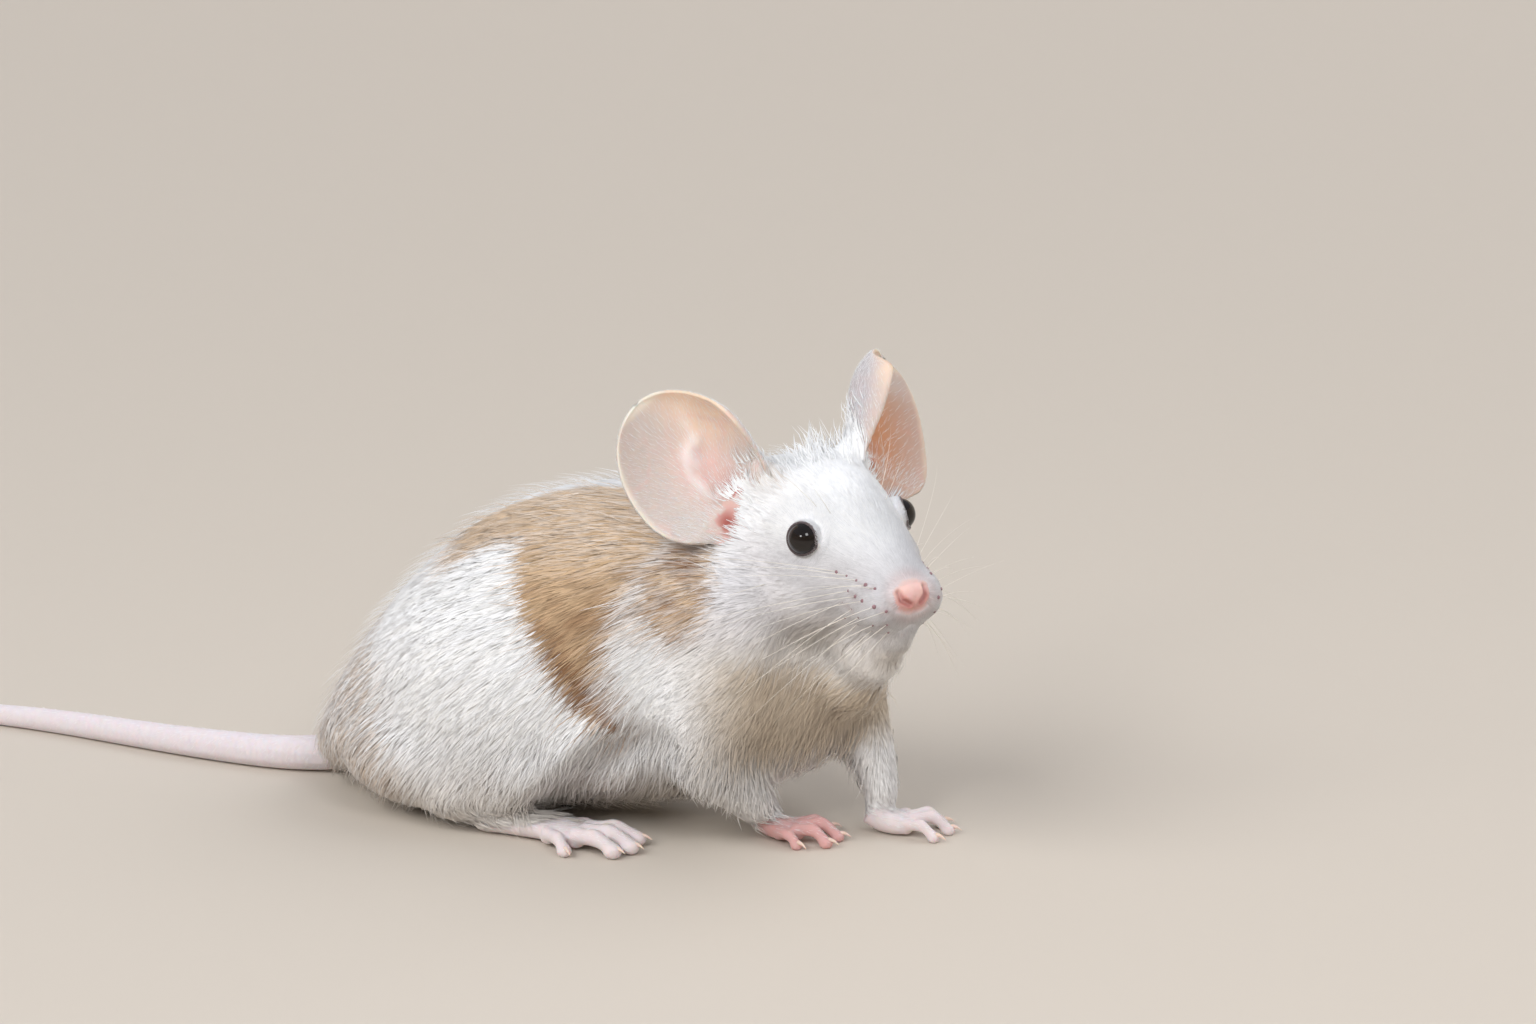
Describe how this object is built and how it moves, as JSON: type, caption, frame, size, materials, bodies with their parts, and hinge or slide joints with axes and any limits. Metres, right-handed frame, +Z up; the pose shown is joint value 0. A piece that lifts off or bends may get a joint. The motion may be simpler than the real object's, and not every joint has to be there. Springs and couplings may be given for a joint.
{
  "type": "pet mouse display model",
  "caption": "Life-size still model of a crouching short-haired pet mouse, white with fawn patches, its head turned to its right.",
  "frame": {"origin": "on the floor, under the middle of the whole model's box", "axes": "+Z up, +X towards the chest and away from the tail, +Y to the animal's left"},
  "size_m": [0.1704, 0.0446, 0.0548],
  "materials": {
    "coat": "short dense fur, white with fawn patches",
    "bare_skin": "thin pink skin with sparse fine hair",
    "ear_skin": "thin translucent skin with fine down",
    "eye": "wet black gloss",
    "claw": "pale horn",
    "whisker": "pale stiff hair"
  },
  "bodies": {
    "root": {"head": "coat", "neck": "coat", "trunk": "coat", "haunch_R": "coat", "haunch_L": "coat", "foreleg_R": "coat", "foreleg_L": "coat", "hind_foot_R": "bare_skin", "hind_foot_L": "bare_skin", "forepaw_R": "bare_skin", "forepaw_L": "bare_skin", "ear_R": "ear_skin", "ear_L": "ear_skin", "eye_R": "eye", "eye_L": "eye", "tail_base": "bare_skin", "tail_middle": "bare_skin", "tail_tip": "bare_skin"}
  },
  "joints": []
}
